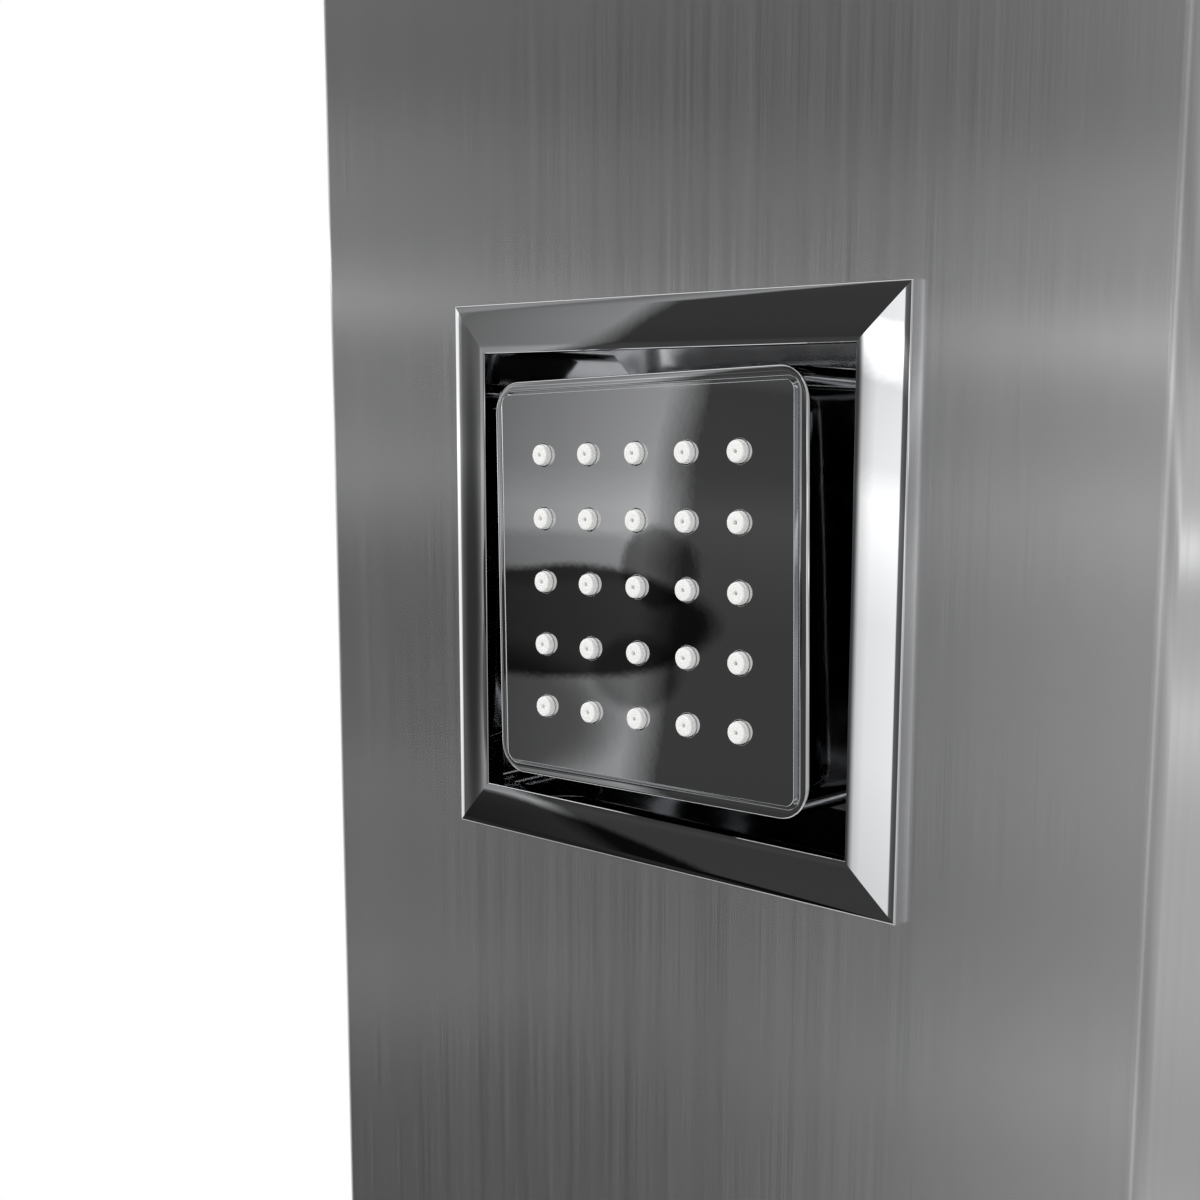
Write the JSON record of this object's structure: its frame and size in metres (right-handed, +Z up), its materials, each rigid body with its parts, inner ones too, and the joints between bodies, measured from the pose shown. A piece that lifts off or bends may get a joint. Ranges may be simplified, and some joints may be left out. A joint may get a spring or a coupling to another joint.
{
  "type": "shower column",
  "caption": "Wall-hung shower column: folded stainless panel with an overhead rain head, square swivelling body jets, a single-lever mixer, a diverter and its pipework",
  "frame": {"origin": "midway between the two wall screws of the upper bracket, on the wall's surface", "axes": "+X to the right of someone facing the panel, +Y into the wall, +Z up"},
  "size_m": [0.2, 0.495, 1.318],
  "materials": {
    "brushed_steel": "vertically brushed stainless steel",
    "chrome": "mirror chrome plate",
    "dark_chrome": "chrome-plated plastic",
    "brass": "machined brass",
    "copper": "drawn copper tube",
    "zinc_plate": "zinc-plated steel",
    "silicone": "white silicone",
    "bearing_plastic": "natural acetal",
    "black_plastic": "moulded black plastic",
    "seal_rubber": "black rubber"
  },
  "bodies": {
    "column": {"front_panel": "brushed_steel", "upper_rail": "zinc_plate", "lower_rail": "zinc_plate", "rail_screws": "zinc_plate", "upper_bracket": "zinc_plate", "lower_bracket": "zinc_plate", "rain_housing": "brushed_steel", "rain_plate": "brushed_steel", "rain_water_box": "black_plastic", "rain_nozzles": "silicone", "rain_feed_pipe": "copper", "rain_screws": "zinc_plate", "jet_1_bezel": "chrome", "jet_1_cup": "dark_chrome", "jet_1_tail": "brass", "jet_2_bezel": "chrome", "jet_2_cup": "dark_chrome", "jet_2_tail": "brass", "jet_3_bezel": "chrome", "jet_3_cup": "dark_chrome", "jet_3_tail": "brass", "bezel_nuts": "zinc_plate", "tail_seals": "seal_rubber", "tail_nuts": "zinc_plate", "mixer_body": "brass", "mixer_cartridge": "bearing_plastic", "mixer_ring_nut": "brass", "mixer_cover_plate": "chrome", "diverter_body": "brass", "diverter_cartridge": "bearing_plastic", "diverter_ring_nut": "brass", "diverter_cover_plate": "chrome", "link_pipe": "copper", "rain_riser": "copper", "jet_manifold": "copper", "hose_outlet": "chrome", "pipe_nuts": "brass"},
    "jet_1_ring": {"jet_1_seat_ring": "bearing_plastic"},
    "jet_1_head": {"jet_1_head_shell": "chrome", "jet_1_face_plate": "chrome", "jet_1_nozzles": "silicone", "jet_1_collar": "chrome"},
    "jet_2_ring": {"jet_2_seat_ring": "bearing_plastic"},
    "jet_2_head": {"jet_2_head_shell": "chrome", "jet_2_face_plate": "chrome", "jet_2_nozzles": "silicone", "jet_2_collar": "chrome"},
    "jet_3_ring": {"jet_3_seat_ring": "bearing_plastic"},
    "jet_3_head": {"jet_3_head_shell": "chrome", "jet_3_face_plate": "chrome", "jet_3_nozzles": "silicone", "jet_3_collar": "chrome"},
    "mixer_turn": {"mixer_spindle": "zinc_plate", "mixer_hub": "chrome"},
    "mixer_lift": {"mixer_lever": "chrome", "mixer_pin": "zinc_plate"},
    "diverter_turn": {"diverter_spindle": "zinc_plate", "diverter_knob": "chrome"}
  },
  "joints": [
    {"name": "jet_1_swing", "type": "hinge", "parent": "column", "child": "jet_1_ring", "pos_m": [0, -0.047, -0.7], "axis": [0, 0, 1], "range_deg": [-6, 6]},
    {"name": "jet_1_tilt", "type": "hinge", "parent": "jet_1_ring", "child": "jet_1_head", "pos_m": [0, -0.047, -0.7], "axis": [1, 0, 0], "range_deg": [-6, 6]},
    {"name": "jet_2_swing", "type": "hinge", "parent": "column", "child": "jet_2_ring", "pos_m": [0, -0.047, -0.47], "axis": [0, 0, 1], "range_deg": [-6, 6]},
    {"name": "jet_2_tilt", "type": "hinge", "parent": "jet_2_ring", "child": "jet_2_head", "pos_m": [0, -0.047, -0.47], "axis": [1, 0, 0], "range_deg": [-6, 6]},
    {"name": "jet_3_swing", "type": "hinge", "parent": "column", "child": "jet_3_ring", "pos_m": [0, -0.047, -0.24], "axis": [0, 0, 1], "range_deg": [-6, 6]},
    {"name": "jet_3_tilt", "type": "hinge", "parent": "jet_3_ring", "child": "jet_3_head", "pos_m": [0, -0.047, -0.24], "axis": [1, 0, 0], "range_deg": [-6, 6]},
    {"name": "mixer_temperature", "type": "hinge", "parent": "column", "child": "mixer_turn", "pos_m": [0, -0.08, -0.87], "axis": [0, 1, 0], "range_deg": [-45, 45]},
    {"name": "mixer_flow", "type": "hinge", "parent": "mixer_turn", "child": "mixer_lift", "pos_m": [0, -0.092, -0.858], "axis": [-1, 0, 0], "range_deg": [0, 25]},
    {"name": "diverter_select", "type": "hinge", "parent": "column", "child": "diverter_turn", "pos_m": [0, -0.08, -1.01], "axis": [0, 1, 0], "range_deg": [-90, 90]}
  ]
}
